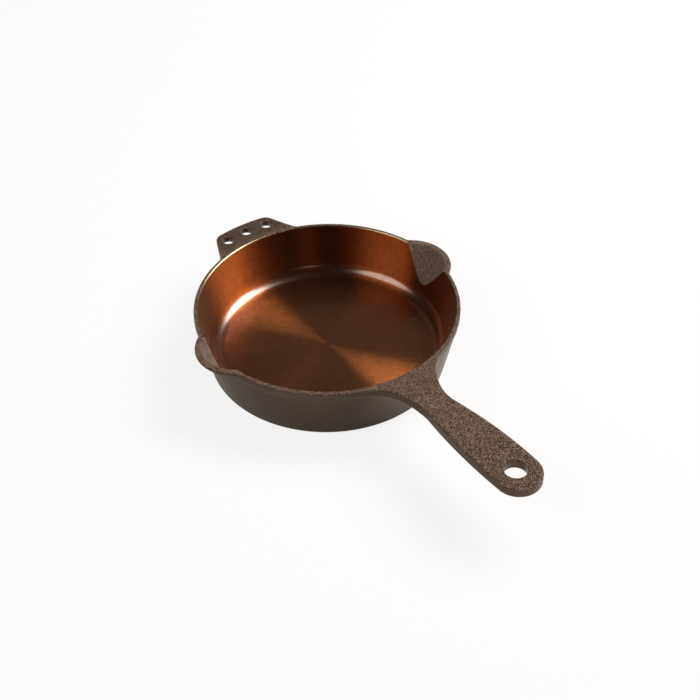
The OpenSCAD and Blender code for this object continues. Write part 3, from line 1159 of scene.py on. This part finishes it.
class SKILLET_OT_handle(bpy.types.Operator):
    """Build the long handle with its hang hole"""
    bl_idname = "skillet.handle"
    bl_label = "Handle"

    def execute(self, context):
        s, _, grip, _, around = plan(context)
        bm = bmesh.new()
        hang_hole = hole_stations(grip.hole_c, grip.h.hole_d / 2, grip.h.hole_edge_r)
        plate_mesh(bm, handle_stations(s, grip, around), [hang_hole], True,
                   lambda q: handle_top(s, grip, q[0]),
                   lambda q: handle_top(s, grip, q[0]) - handle_depth(grip, q[0]))
        finish_piece("handle_cast", bm, [materials(context)[CAST]])
        return {"FINISHED"}


class SKILLET_OT_stage(bpy.types.Operator):
    """Build the pale floor, the soft lights and the camera"""
    bl_idname = "skillet.stage"
    bl_label = "Stage"

    def execute(self, context):
        build_floor(context)
        build_lights()
        build_camera(context)
        return {"FINISHED"}


def build_floor(context):
    """A wide round floor, white to the camera but for the pan's shadow, and dimmer in reflections."""
    bm = bmesh.new()
    bm.faces.new([bm.verts.new((*polar(FLOOR_R, a), 0)) for a in range(0, 360, FLOOR_STEP)])
    mesh = bpy.data.meshes.new("studio_floor")
    bm.to_mesh(mesh)
    bm.free()
    material, tree, shader = principled("Pale studio floor")
    set_inputs(shader, {
        "Base Color": (*context.scene.skillet_finish.floor, 1), "Roughness": 0.9, "Specular IOR Level": 0})
    path = add(tree, "ShaderNodeLightPath")
    seen = path["Is Camera Ray"] * FLOOR_GLOW
    for ray in ("Is Glossy Ray", "Is Transmission Ray"):
        seen = seen.calc("MAXIMUM", path[ray] * MIRRORED_GLOW)
    glow = add(tree, "ShaderNodeEmission", {"Color": (1, 1, 1, 1), "Strength": 1})[0]
    both = add(tree, "ShaderNodeMixShader", {0: seen, 1: outputs(shader)[0], 2: glow})[0]
    set_inputs(tree.nodes["Material Output"], {"Surface": both})
    mesh.materials.append(material)
    floor = bpy.data.objects.new("studio_floor", mesh)
    context.scene.collection.objects.link(floor)


FLOOR_R = 30
FLOOR_STEP = 5
# The floor's own light, to the camera and in reflections, where 1 is white
FLOOR_GLOW = 0.85
MIRRORED_GLOW = 0.15


def look_at(obj, eye, target, up):
    """Places an object so that its -Z axis points from eye at target."""
    back = (eye - target).normalized()
    right = up.cross(back).normalized()
    turn = Matrix((right, back.cross(right), back)).transposed()
    obj.matrix_world = Matrix.Translation(eye) @ turn.to_4x4()


def sky_direction(azimuth, elevation):
    return Vector((*polar(cosd(elevation), azimuth), sind(elevation)))


def build_lights():
    """Long soft lights, each between two directions, and a dim warm sky."""
    for name, first, second, distance, width, power, tint in LIGHTS:
        start, end = sky_direction(*first), sky_direction(*second)
        lamp = bpy.data.lights.new(name, "AREA")
        lamp.shape = "ELLIPSE"
        lamp.size = 2 * distance * math.tan(start.angle(end) / 2)
        lamp.size_y = width
        lamp.energy = power
        lamp.color = tint
        holder = bpy.data.objects.new(name, lamp)
        bpy.context.scene.collection.objects.link(holder)
        middle = (start + end).normalized()
        target = Vector((0, 0, TARGET_Z))
        look_at(holder, target + middle * distance, target, middle.cross(end - start))
    world = bpy.data.worlds.new("Dim studio")
    world.use_nodes = True
    set_inputs(world.node_tree.nodes["Background"], {"Color": (*SKY_COLOUR, 1), "Strength": SKY_STRENGTH})
    bpy.context.scene.world = world


TARGET_Z = 0.02
# Name, azimuth and elevation of the two ends, distance, width, power and tint
LIGHTS = (
    ("window_light", (65.5, 59.0), (91.0, 34.5), 1.5, 1.25, 29, (1.0, 0.92, 0.84)),
    ("fill_light", (-121.0, 29.0), (-69.0, 43.7), 1.5, 1.2, 11, (1.0, 0.89, 0.78)),
    ("low_light", (-28.0, 14.0), (-9.0, 14.0), 1.5, 0.3, 0.4, (1.0, 0.78, 0.62)),
    ("back_light", (144.0, 4.0), (144.0, 64.0), 1.5, 1.3, 1.05, (1.0, 0.88, 0.68)),
)
SKY_STRENGTH = 0.03
SKY_COLOUR = (1.0, 0.82, 0.64)


def build_camera(context):
    """A pinhole camera that sees the pan as the photograph does; the rim's middle is at CENTRE_PIXEL."""
    b = context.scene.skillet_bowl
    back = Vector((sind(CAMERA_AZIMUTH) * cosd(CAMERA_ELEVATION),
                   -cosd(CAMERA_AZIMUTH) * cosd(CAMERA_ELEVATION), sind(CAMERA_ELEVATION)))
    level = Vector((cosd(CAMERA_AZIMUTH), sind(CAMERA_AZIMUTH), 0))
    upright = back.cross(level)
    right = cosd(CAMERA_ROLL) * level + sind(CAMERA_ROLL) * upright
    up = back.cross(right)
    aside = (CENTRE_PIXEL[0] - IMAGE_PIXELS / 2) / FOCAL_PIXELS * CAMERA_DISTANCE
    above = (IMAGE_PIXELS / 2 - CENTRE_PIXEL[1]) / FOCAL_PIXELS * CAMERA_DISTANCE
    eye = Vector((0, 0, b.pan_h)) + CAMERA_DISTANCE * back - aside * right - above * up
    lens = bpy.data.cameras.new("camera")
    lens.sensor_width = 36
    lens.lens = lens.sensor_width * FOCAL_PIXELS / IMAGE_PIXELS
    lens.clip_start, lens.clip_end = 0.05, 20
    camera = bpy.data.objects.new("camera", lens)
    context.scene.collection.objects.link(camera)
    look_at(camera, eye, eye - back, up)
    context.scene.camera = camera


IMAGE_PIXELS = 700
FOCAL_PIXELS = 1400
CENTRE_PIXEL = (327.07, 302.73)
CAMERA_DISTANCE = 0.9972
CAMERA_AZIMUTH = 54.35
CAMERA_ELEVATION = 41.64
CAMERA_ROLL = -0.585


PIECES = (SKILLET_OT_pan_floor, SKILLET_OT_pan_wall, SKILLET_OT_rim, SKILLET_OT_spouts,
          SKILLET_OT_helper_tab, SKILLET_OT_handle, SKILLET_OT_stage)
GROUPS = {"skillet_bowl": BowlSizes, "skillet_spout": SpoutSizes, "skillet_tab": TabSizes,
          "skillet_handle": HandleSizes, "skillet_finish": Finish}


class SKILLET_PT_panel(bpy.types.Panel):
    """The pieces of the skillet, and the sizes and colours they are made with"""
    bl_label = "Skillet"
    bl_space_type = "VIEW_3D"
    bl_region_type = "UI"
    bl_category = "Skillet"

    def draw(self, context):
        for operator in PIECES:
            self.layout.operator(operator.bl_idname)
        for name, group in GROUPS.items():
            box = self.layout.box()
            for prop in group.__annotations__:
                box.prop(getattr(context.scene, name), prop)


def register():
    for cls in (*GROUPS.values(), *PIECES, SKILLET_PT_panel):
        bpy.utils.register_class(cls)
    for name, group in GROUPS.items():
        setattr(bpy.types.Scene, name, bpy.props.PointerProperty(type=group))


def unregister():
    for name in GROUPS:
        delattr(bpy.types.Scene, name)
    for cls in reversed((*GROUPS.values(), *PIECES, SKILLET_PT_panel)):
        bpy.utils.unregister_class(cls)


def main():
    register()
    bpy.context.scene.view_settings.view_transform = "Standard"
    for operator in PIECES:
        group, name = operator.bl_idname.split(".")
        getattr(getattr(bpy.ops, group), name)()
    bpy.context.view_layer.update()


if __name__ == "__main__":
    main()
